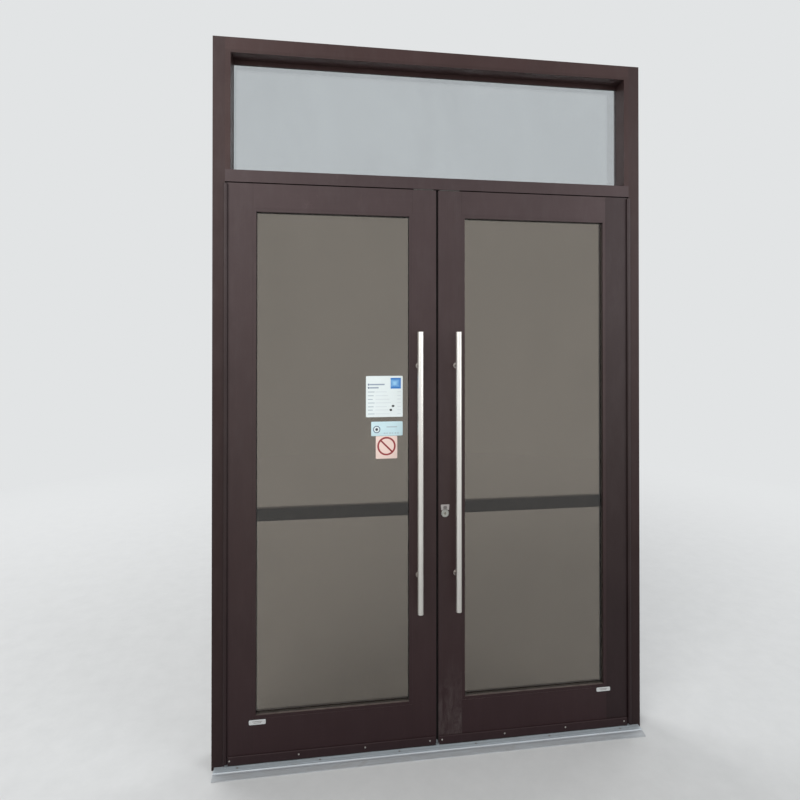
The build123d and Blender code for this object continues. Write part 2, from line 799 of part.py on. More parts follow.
# pile strip on the meeting edge of the right leaf
with BuildPart() as meeting_strip:
    block(leaf_edge_x - meeting_strip_base, leaf_edge_x, leaf_mid_y - meeting_strip_width / 2,
          leaf_mid_y + meeting_strip_width / 2, leaf_z0, leaf_z1)
    block(leaf_edge_x - meeting_pile_reach, leaf_edge_x - meeting_strip_base,
          leaf_mid_y - meeting_pile_width / 2, leaf_mid_y + meeting_pile_width / 2, leaf_z0, leaf_z1)


# write every piece
save(head.part, "head")
save(transom_bar.part, "transom_bar")
save(threshold.part, "threshold")
save(header_stop.part, "header_stop")
save(stop_weatherstrip.part, "stop_weatherstrip")
save(transom_panes.part, "transom_panes")
save(transom_spacer.part, "transom_spacer")
save(transom_gaskets.part, "transom_gaskets")
save(transom_outer_stops.part, "transom_outer_stops")
save(transom_inner_stops.part, "transom_inner_stops")
save(header_strikes.part, "header_strikes")
save(key_cylinder.part, "right_key_cylinder")
save(key_plug.part, "right_key_plug")
save(meeting_strip.part, "right_meeting_strip")

for side, s in (("left", -1), ("right", 1)):
    save(jamb(s), f"{side}_jamb")
    save(jamb_stop(s), f"{side}_jamb_stop")
    save(hinge_frame_leaf(s), f"{side}_hinge_frame_half")
    save(hinge_cap(s), f"{side}_hinge_cover")
    save(hinge_leaf(s), f"{side}_hinge_leaf_half")
    save(hinge_stile(s), f"{side}_hinge_stile")
    save(lock_stile(s), f"{side}_lock_stile")
    save(top_rail(s), f"{side}_top_rail")
    save(bottom_rail(s), f"{side}_bottom_rail")
    save(leaf_panes(s), f"{side}_panes")
    save(leaf_spacer(s), f"{side}_spacer")
    save(leaf_gaskets(s), f"{side}_gaskets")
    save(leaf_beads(s), f"{side}_beads")
    save(pull_bar(s), f"{side}_pull_bar")
    save(pull_posts(s), f"{side}_pull_posts")
    save(exit_head(s), f"{side}_exit_head")
    save(exit_rail(s), f"{side}_exit_rail")
    save(exit_end_cap(s), f"{side}_exit_end_cap")
    save(push_pad(s), f"{side}_push_pad")
    save(top_bolt(s), f"{side}_top_bolt")
    save(bolt_guide(s), f"{side}_bolt_guide")
    save(sweep_carrier(s), f"{side}_sweep_carrier")
    save(sweep_seal(s), f"{side}_sweep_seal")
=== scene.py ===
import math
import random

import bmesh
import bpy
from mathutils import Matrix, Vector


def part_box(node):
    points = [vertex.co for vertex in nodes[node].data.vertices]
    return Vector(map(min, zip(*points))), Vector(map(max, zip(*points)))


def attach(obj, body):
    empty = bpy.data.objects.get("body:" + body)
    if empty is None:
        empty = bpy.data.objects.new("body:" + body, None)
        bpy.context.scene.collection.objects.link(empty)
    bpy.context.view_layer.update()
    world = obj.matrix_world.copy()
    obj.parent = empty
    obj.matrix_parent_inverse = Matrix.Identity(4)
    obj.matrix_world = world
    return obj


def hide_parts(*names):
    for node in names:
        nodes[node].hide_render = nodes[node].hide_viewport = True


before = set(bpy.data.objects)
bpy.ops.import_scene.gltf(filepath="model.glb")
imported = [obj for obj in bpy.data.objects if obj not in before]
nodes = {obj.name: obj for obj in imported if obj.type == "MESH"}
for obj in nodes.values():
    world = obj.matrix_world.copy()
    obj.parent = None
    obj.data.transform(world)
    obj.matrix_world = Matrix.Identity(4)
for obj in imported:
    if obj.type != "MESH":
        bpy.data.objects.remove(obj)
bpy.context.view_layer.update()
MM = 0.001
SIDES = (("left", -1), ("right", 1))


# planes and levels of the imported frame, in millimetres
def span(node, axis):
    """A CAD node's lowest and highest place along x, y or z."""
    low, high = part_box(node)
    i = "xyz".index(axis)
    return round(low[i] / MM, 3), round(high[i] / MM, 3)


def middle(node, axis):
    return sum(span(node, axis)) / 2


FRONT = span("right_lock_stile", "y")[0]
MEETING_X, LIGHT_IN = span("right_lock_stile", "x")
LIGHT_OUT = span("right_hinge_stile", "x")[0]
LIGHT_FOOT = span("right_bottom_rail", "z")[1]
LIGHT_HEAD = span("right_top_rail", "z")[0]
LEAF_BOTTOM, LEAF_TOP = span("right_lock_stile", "z")
GLASS_FRONT, GLASS_BACK = span("right_panes", "y")
SILL = span("threshold", "z")[1]
HALF_OPENING = span("head", "x")[1]
OPENING_TOP, TRANSOM_FOOT = span("transom_bar", "z")
TRANSOM_HEAD = span("head", "z")[0]
TRANSOM_FRONT, TRANSOM_BACK = span("transom_panes", "y")


# colours
def srgb(r, g, b):
    """A colour written as 0..255 screen values, as linear RGBA."""
    def one(v):
        v /= 255
        return v / 12.92 if v <= 0.04045 else ((v + 0.055) / 1.055) ** 2.4
    return (one(r), one(g), one(b), 1.0)


def scaled(colour, k):
    return (colour[0] * k, colour[1] * k, colour[2] * k, 1.0)


# node helpers
class Shader:
    """A material under construction: one Principled shader and the nodes that feed it."""

    SOCKETS = {"colour": "Base Color", "metal": "Metallic", "rough": "Roughness", "ior": "IOR",
               "clear": "Transmission Weight", "coat": "Coat Weight", "coat_rough": "Coat Roughness",
               "sheen": "Sheen Weight", "aniso": "Anisotropic", "shine": "Specular IOR Level"}

    def __init__(self, name, **values):
        self.material = bpy.data.materials.new(name)
        self.material.use_nodes = True
        self.tree = self.material.node_tree
        self.tree.nodes.clear()
        self.out = self.node("ShaderNodeOutputMaterial")
        self.bsdf = self.node("ShaderNodeBsdfPrincipled")
        self.link(self.bsdf.outputs["BSDF"], self.out.inputs["Surface"])
        self.position = self.node("ShaderNodeTexCoord").outputs["Object"]
        for key, value in values.items():
            self.bsdf.inputs[self.SOCKETS[key]].default_value = value

    def node(self, kind, **values):
        made = self.tree.nodes.new(kind)
        for key, value in values.items():
            setattr(made, key, value)
        return made

    def link(self, output, socket):
        self.tree.links.new(output, socket)

    def give(self, socket, value):
        """Sets a socket to a number or colour, or links it to another node's output."""
        if isinstance(value, (int, float, tuple)):
            socket.default_value = value
        else:
            self.link(value, socket)

    def feed(self, **sources):
        """Links outputs to the Principled shader's sockets."""
        for key, source in sources.items():
            self.link(source, self.bsdf.inputs[self.SOCKETS[key]])

    def noise(self, scale, stretch=(1, 1, 1), detail=3.0, rough=0.55, distortion=0.0, offset=(0, 0, 0)):
        """Noise over the object's own metres: scale per metre, stretched where a factor is under 1."""
        mapping = self.node("ShaderNodeMapping")
        mapping.inputs["Scale"].default_value = [scale * k for k in stretch]
        mapping.inputs["Location"].default_value = offset
        self.link(self.position, mapping.inputs["Vector"])
        made = self.node("ShaderNodeTexNoise")
        values = {"Scale": 1.0, "Detail": detail, "Roughness": rough, "Distortion": distortion}
        for key, value in values.items():
            made.inputs[key].default_value = value
        self.link(mapping.outputs["Vector"], made.inputs["Vector"])
        return made.outputs["Fac"]

    def remap(self, value, run, to=(0.0, 1.0)):
        """The value's run from one number to another, stretched over a second run and clamped."""
        made = self.node("ShaderNodeMapRange", clamp=True)
        self.link(value, made.inputs["Value"])
        for key, number in zip(("From Min", "From Max", "To Min", "To Max"), run + to):
            made.inputs[key].default_value = number
        return made.outputs["Result"]

    def math(self, operation, *values):
        made = self.node("ShaderNodeMath", operation=operation)
        for socket, value in zip(made.inputs, values):
            self.give(socket, value)
        return made.outputs[0]

    def mix(self, factor, a, b, blend="MIX"):
        made = self.node("ShaderNodeMix", data_type="RGBA", blend_type=blend)
        self.link(factor, made.inputs["Factor"])
        colours = [socket for socket in made.inputs if socket.type == "RGBA"]
        for socket, value in zip(colours, (a, b)):
            self.give(socket, value)
        return [output for output in made.outputs if output.type == "RGBA"][0]

    def axis(self, which):
        split = self.node("ShaderNodeSeparateXYZ")
        self.link(self.position, split.inputs[0])
        return split.outputs[which]

    def upward(self):
        """1 on faces that look up, where dust stays and where a highlight is painted on lit top faces."""
        split = self.node("ShaderNodeSeparateXYZ")
        self.link(self.node("ShaderNodeNewGeometry").outputs["Normal"], split.inputs[0])
        return self.remap(split.outputs["Z"], (0.6, 0.95))

    def off(self, value, place):
        """How far the value lies from the place."""
        return self.math("ABSOLUTE", self.math("SUBTRACT", value, place))

    def near(self, value, place, reach):
        """1 where the value lies at the place, falling to 0 at the reach."""
        return self.remap(self.off(value, place), (reach * 0.4, reach), to=(1.0, 0.0))

    def bump(self, height, depth, strength=0.5):
        """Relief of a depth in millimetres."""
        made = self.node("ShaderNodeBump")
        made.inputs["Strength"].default_value = strength
        made.inputs["Distance"].default_value = depth * MM
        self.link(height, made.inputs["Height"])
        self.link(made.outputs["Normal"], self.bsdf.inputs["Normal"])


# what the materials share: usual runs of noise values, directions, and heights in metres
USUAL = (0.3, 0.7)
CORE = (0.35, 0.65)
GRAIN = {"x": (0.004, 1, 1), "y": (1, 0.004, 1), "z": (1, 1, 0.004)}
UPRIGHT = (1, 1, 0.3)
# the painted sheen that greys the bronze rises between these heights
TOP_SHEEN_HEIGHTS = (0.9, 2.9)
SHADE_HEIGHTS = (1.3, 0.1)
SCUFF_HEIGHTS = (0.05, 0.42)
# painted shade darkens the stainless between these heights
FOOT_SHADE_HEIGHTS = (1.5, 0.7)
SEAM_REACH = 1.4 * MM
# tone multipliers: a painted sheen that greys the bronze towards the top, and painted shade that deepens it
# towards the foot
PAINTED_TOP_SHEEN = (1.6, 1.8, 1.94, 1.0)
SHADED = (0.6, 0.44, 0.52, 1.0)
# pale dust on ledges, which also paints the highlight of lit top faces
DUST_AND_SHEEN = srgb(138, 128, 122)
DRIP = srgb(112, 104, 102)
SCUFF = srgb(104, 96, 94)


def band(value, less, more):
    return (value - less, value + more)


def worn(m, tone, colour):
    """Faint marks, drips and patches of hair-fine scratches on an anodised face."""
    marks = m.noise(30, UPRIGHT, detail=5.0, rough=0.7)
    tone = m.mix(m.remap(marks, (0.6, 0.74), to=(0.0, 0.22)), tone, scaled(colour, 1.5))
    drips = m.noise(26, (1, 1, 0.25), detail=6.0, rough=0.7)
    tone = m.mix(m.remap(drips, (0.46, 0.78), to=(0.0, 0.05)), tone, DRIP)
    hairs = m.near(m.noise(11, UPRIGHT, detail=2.0, distortion=2.2), 0.5, 0.0035)
    patches = m.remap(m.noise(5, detail=3.0, offset=(3, 1, 2)), (0.52, 0.68), to=(0.0, 0.22))
    return m.mix(m.math("MULTIPLY", hairs, patches), tone, scaled(colour, 2.4))


def painted_height_light(m, tone, top_sheen):
    """A painted sheen that greys the tone towards the top, and painted red-brown shade towards the foot."""
    height = m.axis("Z")
    tone = m.mix(m.remap(height, TOP_SHEEN_HEIGHTS, to=(0.0, top_sheen)), tone, PAINTED_TOP_SHEEN, "MULTIPLY")
    return m.mix(m.remap(height, SHADE_HEIGHTS), tone, SHADED, "MULTIPLY")


def scuffed_foot(m, tone):
    """Grey scuffs that thin out above the foot."""
    foot = m.remap(m.axis("Z"), SCUFF_HEIGHTS, to=(1.0, 0.0))
    rub = m.remap(m.noise(30, UPRIGHT, detail=7.0, rough=0.75, distortion=0.5), (0.42, 0.75))
    return m.mix(m.math("MULTIPLY", m.math("MULTIPLY", foot, rub), 0.55), tone, SCUFF)


def seamed(m, tone, colour, seams):
    """Dark joint lines at these distances from the middle of the opening."""
    across = m.math("ABSOLUTE", m.axis("X"))
    for seam in seams:
        tone = m.mix(m.math("MULTIPLY", m.near(across, seam, SEAM_REACH), 0.7), tone, scaled(colour, 0.3))
    return tone


def anodised(name, colour, along, rough=0.4, seams=(), scuffed=False, pale_amount=0.75, top_sheen=1.0):
    """Satin anodised extrusion: die lines along its length, a cloudy tone with a painted sheen that greys
    it towards the top and painted shade that deepens it towards the foot, wear, dust on its ledges that is
    also a painted highlight, and where asked scuffs at the foot and joint lines."""
    m = Shader(name, metal=0.3, shine=0.3)
    lines = m.noise(700, GRAIN[along], detail=2.0, rough=0.6)
    cloud = m.noise(2.6, detail=4.0, rough=0.6)
    tone = m.mix(m.remap(cloud, USUAL), scaled(colour, 0.9), scaled(colour, 1.1))
    tone = m.mix(m.remap(lines, (0.4, 0.62), to=(0.0, 0.4)), tone, scaled(colour, 1.25))
    # painted light by height: a sheen towards the top, shade towards the foot
    tone = painted_height_light(m, worn(m, tone, colour), top_sheen)
    # dust on faces that look up, partly a painted highlight on lit top faces
    dust_and_sheen = m.remap(m.noise(24, detail=5.0, rough=0.7), USUAL, to=(pale_amount * 0.45, pale_amount))
    tone = m.mix(m.math("MULTIPLY", m.upward(), dust_and_sheen), tone, DUST_AND_SHEEN)
    if scuffed:
        tone = scuffed_foot(m, tone)
    tone = seamed(m, tone, colour, seams)
    m.feed(colour=tone, rough=m.remap(m.noise(9, detail=4.0), USUAL, to=band(rough, 0.06, 0.08)))
    m.bump(lines, depth=0.03, strength=0.6)
    return m.material


def painted(name, colour, rough=0.45):
    """Powder-painted device cases: a fine orange peel, a little wear in tone, and dust on top that is also
    a painted highlight.
    """
    m = Shader(name, metal=0.1)
    wear = m.noise(18, (0.3, 1, 1), detail=5.0, rough=0.65)
    flecks = m.noise(55, detail=6.0, rough=0.75)
    tone = m.mix(m.remap(wear, (0.35, 0.7)), scaled(colour, 0.9), scaled(colour, 1.12))
    tone = m.mix(m.remap(flecks, (0.62, 0.72), to=(0.0, 0.35)), tone, scaled(colour, 1.7))
    # dust on top faces, partly a painted highlight
    dust_and_sheen = m.remap(wear, USUAL, to=(0.3, 0.6))
    tone = m.mix(m.math("MULTIPLY", m.upward(), dust_and_sheen), tone, DUST_AND_SHEEN)
    m.feed(colour=tone, rough=m.remap(wear, USUAL, to=band(rough, 0.07, 0.07)))
    m.bump(m.noise(700, detail=2.0), depth=0.05)
    return m.material


def brushed(name, colour, along, rough=0.3, foot_shade=None):
    """Steel with a drawn satin brush along its length and small dull patches; where asked, painted shade
    darkens it towards the foot."""
    m = Shader(name, metal=1.0, aniso=0.4)
    brush = m.noise(1500, GRAIN[along], detail=3.0, rough=0.7)
    patch = m.noise(9, detail=4.0)
    tone = m.mix(m.remap(brush, CORE), scaled(colour, 0.86), scaled(colour, 1.1))
    tone = m.mix(m.remap(patch, (0.45, 0.7), to=(0.0, 0.35)), tone, scaled(colour, 0.82))
    # painted shade towards the foot
    if foot_shade:
        tone = m.mix(m.remap(m.axis("Z"), FOOT_SHADE_HEIGHTS), tone, (foot_shade, foot_shade, foot_shade, 1.0), "MULTIPLY")
    m.feed(colour=tone, rough=m.math("ADD", m.remap(brush, USUAL, to=band(rough, 0.06, 0.08)),
                                     m.remap(patch, (0.5, 0.7), to=(0.0, 0.08))))
    m.bump(brush, depth=0.02)
    return m.material


FLUTE_DEPTHS = (0.2, 3.2)


def mill(name, colour):
    """Walked-on mill aluminium: streaks along the extrusion, grey scuffs, dirt that stays in the flutes."""
    m = Shader(name, metal=0.35)
    streak = m.noise(420, (0.01, 1, 1), detail=4.0, rough=0.7)
    scuff = m.noise(22, (0.35, 1, 1), detail=6.0, rough=0.7, distortion=0.6)
    grime = m.noise(60, (0.2, 1, 1), detail=6.0, rough=0.75)
    tone = m.mix(m.remap(streak, CORE), scaled(colour, 0.84), scaled(colour, 1.12))
    tone = m.mix(m.remap(scuff, (0.55, 0.7), to=(0.0, 0.45)), tone, srgb(150, 146, 142))
    flutes = tuple((SILL - depth) * MM for depth in FLUTE_DEPTHS)
    low = m.remap(m.axis("Z"), flutes, to=(0.0, 0.55))
    dirt = m.math("MULTIPLY", low, m.remap(grime, USUAL, to=(0.45, 1.0)))
    tone = m.mix(dirt, tone, srgb(156, 149, 147))
    m.feed(colour=tone, rough=m.remap(scuff, USUAL, to=(0.37, 0.62)))
    m.bump(streak, depth=0.06, strength=0.6)
    return m.material


def rubber(name, colour, pale_amount=0.2):
    """Dull rubber with a pale bloom."""
    m = Shader(name)
    bloom = m.noise(30, detail=5.0, rough=0.7)
    m.feed(colour=m.mix(m.remap(bloom, (0.45, 0.75), to=(0.0, pale_amount)), colour, srgb(92, 88, 84)),
           rough=m.remap(bloom, USUAL, to=(0.6, 0.8)))
    m.bump(m.noise(900, detail=3.0), depth=0.06)
    return m.material


def pile(name, colour):
    """Woven pile fibres: strong fine streaks across and a soft sheen."""
    m = Shader(name, rough=0.9, sheen=0.4)
    fibre = m.noise(2600, (0.15, 1, 1), detail=3.0, rough=0.7)
    m.feed(colour=m.mix(m.remap(fibre, CORE), scaled(colour, 0.6), scaled(colour, 1.9)))
    m.bump(fibre, depth=0.2, strength=0.8)
    return m.material


def printed(name, colour, fade=0.08, rough=0.5):
    """Vinyl or card: flat ink a little faded and soiled, with a fine paper tooth."""
    m = Shader(name, coat=0.15, coat_rough=0.35)
    cloud = m.noise(24, detail=5.0, rough=0.65)
    m.feed(colour=m.mix(m.remap(cloud, (0.35, 0.7), to=(0.0, fade * 2)), colour, srgb(206, 200, 190)),
           rough=m.remap(cloud, USUAL, to=band(rough, 0.06, 0.1)))
    m.bump(m.noise(1300, detail=2.0), depth=0.02, strength=0.4)
    return m.material


def glass(name, tint):
    """A float glass pane: clear, with a tint that clouds a little where it was wiped, and it lets the
    lamps through."""
    m = Shader(name, clear=1.0, ior=1.5, rough=0.0)
    wipe = m.noise(3.2, (1, 1, 0.5), detail=4.0, rough=0.6, distortion=1.0)
    m.feed(colour=m.mix(m.remap(wipe, USUAL), scaled(tint, 0.985), scaled(tint, 1.015)))
    through = m.node("ShaderNodeBsdfTransparent")
    through.inputs["Color"].default_value = scaled(tint, 0.95)
    choose = m.node("ShaderNodeMixShader")
    m.link(m.node("ShaderNodeLightPath").outputs["Is Shadow Ray"], choose.inputs["Fac"])
    m.link(m.bsdf.outputs["BSDF"], choose.inputs[1])
    m.link(through.outputs["BSDF"], choose.inputs[2])
    m.link(choose.outputs["Shader"], m.out.inputs["Surface"])
    return m.material


GLOW_X, GLOW_Z = -187.0, 1601.0
GLOW_ACROSS, GLOW_ALONG = (0.0, 26.0), (2.0, 20.0)


def blue_field(name):
    """The card's blue corner: deep blue edges that pale towards a soft light band across its middle."""
    m = Shader(name, rough=0.4, coat=0.2, coat_rough=0.3)
    runs = []
    for axis, place, run in (("X", GLOW_X, GLOW_ACROSS), ("Z", GLOW_Z, GLOW_ALONG)):
        runs.append(m.remap(m.off(m.axis(axis), place * MM), (run[0] * MM, run[1] * MM)))
    ripple = m.remap(m.noise(60, detail=3.0), USUAL, to=(-0.12, 0.12))
    spread = m.math("ADD", m.math("MAXIMUM", *runs), ripple)
    m.feed(colour=m.mix(m.remap(spread, (0.1, 0.95)), srgb(148, 200, 236), srgb(30, 112, 190)))
    return m.material


# the materials
BRONZE = srgb(56, 43, 42)
# a darker, redder bronze: painted shade under the head, on its outer stops and in the jambs
BRONZE_IN_SHADE = srgb(56, 39, 37)
mats = {
    "upright": anodised("bronze_upright", BRONZE, "z"),
    # a darker copy of the upright bronze: painted shade on the right hinge stile
    "shaded_upright": anodised("bronze_shaded_upright", scaled(BRONZE, 0.68), "z"),
    # darker still: painted shade in the corners of the jambs
    "jamb": anodised("bronze_jamb_shaded", scaled(BRONZE_IN_SHADE, 0.66), "z", top_sheen=0.75),
    "lock": anodised("bronze_lock_stile", scaled(BRONZE, 1.04), "z"),
    "lock_worn": anodised("bronze_lock_stile_worn", scaled(BRONZE, 1.02), "z", scuffed=True),
    "level": anodised("bronze_level", BRONZE, "x"),
    # head and outer stops: painted shade, with less painted sheen towards the top
    "head": anodised("bronze_head_shaded", BRONZE_IN_SHADE, "x", top_sheen=0.4),
    "stop": anodised("bronze_outer_stop_shaded", scaled(BRONZE_IN_SHADE, 0.9), "x", top_sheen=0.3),
    "rail": anodised("bronze_rail", scaled(BRONZE, 1.04), "x", seams=(LIGHT_IN * MM, LIGHT_OUT * MM)),
    # a darker copy of the bronze: painted shade on the hinges in the jamb corners
    "hinge": anodised("bronze_hinge", scaled(BRONZE, 0.7), "z", rough=0.36),
    # a darker copy of the bronze with almost no dust on top: painted shade that keeps its lit top edge dark
    "carrier": anodised("bronze_carrier_shaded", scaled(BRONZE, 0.92), "x", rough=0.5, pale_amount=0.05),
    "device": painted("device_dark", srgb(50, 43, 42)),
    "pad": anodised("device_pad", srgb(58, 49, 48), "x", rough=0.34),
    "cap": painted("device_cap", srgb(34, 32, 33), rough=0.55),
    # paler than bare steel, a painted highlight, and painted shade towards the foot
    "bar": brushed("stainless_bar_painted_light", srgb(238, 235, 229), "z", rough=0.33, foot_shade=0.78),
    # a darker copy of the bar's steel: painted shade on the posts
    "post": brushed("stainless_post_shaded", srgb(176, 170, 165), "y", rough=0.4),
    "mill": mill("mill_threshold", srgb(188, 197, 203)),
    "spacer": brushed("spacer_metal", srgb(150, 150, 150), "z", rough=0.4),
    "rubber": rubber("black_rubber", srgb(26, 25, 25)),
    "sweep": rubber("sweep_rubber", srgb(26, 24, 24), pale_amount=0.25),
    "pile": pile("pile_grey", srgb(34, 32, 32)),
    "plated": brushed("plated_steel", srgb(182, 180, 174), "z", rough=0.32),
    "screw": brushed("screw_steel", srgb(188, 184, 178), "x", rough=0.34),
    "dark_screw": brushed("screw_dark", srgb(74, 68, 66), "x", rough=0.4),
    "cylinder": brushed("cylinder_metal", srgb(176, 176, 170), "y"),
    "plug": brushed("plug_metal", srgb(160, 156, 146), "y", rough=0.28),
    "plastic": painted("black_plastic", srgb(34, 33, 34), rough=0.5),
    "leaf_glass": glass("leaf_glass", (0.445, 0.415, 0.378, 1.0)),
    # paler than the leaf glass: its clear tint paints the sky's reflection
    "transom_glass_sky_reflection": glass("transom_glass_sky_reflection", (0.76, 0.78, 0.79, 1.0)),
    "card": printed("card_white", srgb(226, 235, 235), fade=0.04),
    "card_blue": blue_field("card_blue"),
    "card_head": printed("card_heading", srgb(138, 154, 172)),
    "card_mark": printed("card_mark", srgb(66, 84, 116)),
    "card_row": printed("card_row", srgb(168, 182, 190)),
    "card_faint": printed("card_faint", srgb(212, 221, 224)),
    "card_dot": printed("card_dot", srgb(24, 24, 28), fade=0.02),
    "label": printed("label_blue", srgb(198, 226, 233)),
    "label_ring": printed("label_ring", srgb(84, 96, 116)),
    "label_dot": printed("label_dot", srgb(30, 36, 54), fade=0.02),
    "sign": printed("sign_pale", srgb(234, 208, 198), fade=0.05),
    "sign_red": printed("sign_red", srgb(142, 24, 34), fade=0.03),
    "plate": printed("plate_pale", srgb(182, 184, 185), rough=0.4),
    "wedge": printed("wedge_grey", srgb(152, 146, 145), rough=0.42),
    "wedge_dark": printed("wedge_dark", srgb(92, 86, 86), rough=0.42),
}

# which material each CAD node wears
FINISH = {
    "head": "head", "transom_bar": "level", "threshold": "mill", "header_stop": "level",
    "stop_weatherstrip": "rubber", "transom_panes": "transom_glass_sky_reflection", "transom_spacer": "spacer",
    "transom_gaskets": "rubber", "transom_outer_stops": "stop", "transom_inner_stops": "level",
    "header_strikes": "plated", "right_key_cylinder": "cylinder", "right_key_plug": "plug",
    "right_meeting_strip": "pile",
}
SIDE_FINISH = {
    "jamb": "jamb", "jamb_stop": "upright", "hinge_frame_half": "hinge", "hinge_cover": "hinge",
    "hinge_leaf_half": "hinge", "hinge_stile": "upright", "lock_stile": "lock", "top_rail": "rail",
    "bottom_rail": "rail", "panes": "leaf_glass", "spacer": "spacer", "gaskets": "rubber",
    "beads": "upright", "pull_bar": "bar", "pull_posts": "post", "exit_head": "device",
    "exit_rail": "device", "exit_end_cap": "cap", "push_pad": "pad", "top_bolt": "plated",
    "bolt_guide": "plastic", "sweep_carrier": "carrier", "sweep_seal": "sweep",
}
for side in ("left", "right"):
    for part, finish in SIDE_FINISH.items():
        FINISH[f"{side}_{part}"] = finish
# the right hinge stile wears the darker copy of the upright bronze, painted shade
FINISH["right_hinge_stile"] = "shaded_upright"
FINISH["right_lock_stile"] = "lock_worn"
for name, finish in FINISH.items():
    data = nodes[name].data
    data.materials.clear()
    data.materials.append(mats[finish])


# mesh code
class Form:
    """One added piece, built point by point in millimetres, with one or more materials."""

    def __init__(self, *finishes):
        self.bm = bmesh.new()
        self.finishes = finishes
        self.index = 0

    def ink(self, finish):
        """The faces that follow wear this one of the form's materials."""
        self.index = self.finishes.index(finish)

    def point(self, x, y, z):
        return self.bm.verts.new((x * MM, y * MM, z * MM))

    def face(self, verts):
        self.bm.faces.new(verts).material_index = self.index

    def skin(self, loops, closed=False):
        """Joins successive equal loops of points with quads; a closed run returns to its first loop."""
        rings = [[self.point(*p) for p in loop] for loop in loops]
        pairs = list(zip(rings, rings[1:]))
        if closed:
            pairs.append((rings[-1], rings[0]))
        for a, b in pairs:
            for i in range(len(a)):
                j = (i + 1) % len(a)
                self.face((a[i], a[j], b[j], b[i]))
        if not closed:
            self.face(rings[0][::-1])
            self.face(rings[-1])

    def around(self, x0, x1, z0, z1, profile, y, outward):
        """A profile run round a rectangle with mitred corners: u inwards from the edge, v along Y."""
        corners = ((x0, z0, 1, 1), (x1, z0, -1, 1), (x1, z1, -1, -1), (x0, z1, 1, -1))
        self.skin([[(x + dx * u, y + outward * v, z + dz * u) for u, v in profile]
                   for x, z, dx, dz in corners], closed=True)

    def sheet(self, outline, y_back, y_front, edge=0.15):
        """A flat sheet on a wall plane: its outline in X and Z, with a softened front edge."""
        mid_x = sum(x for x, z in outline) / len(outline)
        mid_z = sum(z for x, z in outline) / len(outline)
        inset = []
        for x, z in outline:
            away = math.hypot(x - mid_x, z - mid_z)
            inset.append((x - (x - mid_x) / away * edge, y_front, z - (z - mid_z) / away * edge))
        self.skin([[(x, y_back, z) for x, z in outline],
                   [(x, y_front + edge * 0.6, z) for x, z in outline], inset])

    def bar(self, x0, x1, z0, z1, y_back, y_front):
        """A thin rectangular bar on a wall plane."""
        self.skin([[(x0, y, z0), (x1, y, z0), (x1, y, z1), (x0, y, z1)] for y in (y_back, y_front)])

    def ring(self, x, z, profile, steps=48):
        """A ring round a line along Y; its profile gives radius and Y."""
        turns = [2 * math.pi * i / steps for i in range(steps)]
        self.skin([[(x + r * math.cos(a), y, z + r * math.sin(a)) for r, y in profile] for a in turns],
                  closed=True)

    def annulus(self, x, z, r0, r1, y_back, y_front):
        self.ring(x, z, ((r0, y_back), (r0, y_front), (r1, y_front), (r1, y_back)))

    def turned(self, place, out, rows, steps=32):
        """A turned head: rows of radius and height along the outward direction; a radius may be a
        function of the angle, for a recess."""
        out = Vector(out)
        side = out.orthogonal().normalized()
        other = out.cross(side)
        loops = []
        for radius, height in rows:
            loop = []
            for i in range(steps):
                a = 2 * math.pi * i / steps
                r = radius(a) if callable(radius) else radius
                loop.append(Vector(place) + out * height + (side * math.cos(a) + other * math.sin(a)) * r)
            loops.append(loop)
        self.skin(loops)

    def warp(self, move):
        """Moves every point by a function of its place in millimetres."""
        for v in self.bm.verts:
            v.co = Vector(move(*(c / MM for c in v.co))) * MM

    def done(self, name, body, replaces=(), sharp=32.0):
        """Ends the piece: smooth faces with edges kept sharp past an angle, its body, slot and nodes."""
        bmesh.ops.recalc_face_normals(self.bm, faces=self.bm.faces)
        for f in self.bm.faces:
            f.smooth = True
        for e in self.bm.edges:
            e.smooth = len(e.link_faces) == 2 and e.calc_face_angle() < math.radians(sharp)
        mesh = bpy.data.meshes.new(name)
        self.bm.to_mesh(mesh)
        self.bm.free()
        for finish in self.finishes:
            mesh.materials.append(mats[finish])
        made = bpy.data.objects.new(name, mesh)
        bpy.context.scene.collection.objects.link(made)
        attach(made, body)
        if replaces:
            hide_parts(*replaces)


# outlines and screw heads
def cross_recess(arm, half):
    """The radius of a cross-shaped recess at an angle."""
    def radius(a):
        fold = (a + math.pi / 4) % (math.pi / 2) - math.pi / 4
        if abs(math.tan(fold)) * arm <= half:
            return arm / math.cos(fold)
        return half / abs(math.sin(fold))
    return radius


def hex_recess(flat):
    """The radius of a hexagonal recess at an angle."""
    def radius(a):
        fold = (a + math.pi / 6) % (math.pi / 3) - math.pi / 6
        return flat / math.cos(fold)
    return radius


def pan_head(form, place, out, r, h):
    recess = cross_recess(r * 0.55, r * 0.14)
    form.turned(place, out, ((r, 0), (r, h * 0.35), (r * 0.93, h * 0.7), (r * 0.72, h * 0.95),
                             (r * 0.6, h), (recess, h), (recess, h * 0.45)))


def flat_head(form, place, out, r, h):
    recess = cross_recess(r * 0.5, r * 0.13)
    form.turned(place, out, ((r, 0), (r, h * 0.6), (r * 0.95, h), (r * 0.58, h), (recess, h),
                             (recess, h * 0.2)))


def arc(x, z, r, first, last, steps):
    """Points along an arc in X and Z, from one angle in degrees to another."""
    turns = [math.radians(first + (last - first) * i / steps) for i in range(steps + 1)]
    return [(x + r * math.cos(a), z + r * math.sin(a)) for a in turns]


def rounded(x0, x1, z0, z1, r):
    """The outline of a rectangle with rounded corners."""
    corners = ((x1 - r, z1 - r, 0), (x0 + r, z1 - r, 90), (x0 + r, z0 + r, 180), (x1 - r, z0 + r, 270))
    return [point for x, z, start in corners for point in arc(x, z, r, start, start + 90, 5)]


def rounded_about(x, z, half_x, half_z, r):
    return rounded(x - half_x, x + half_x, z - half_z, z + half_z, r)


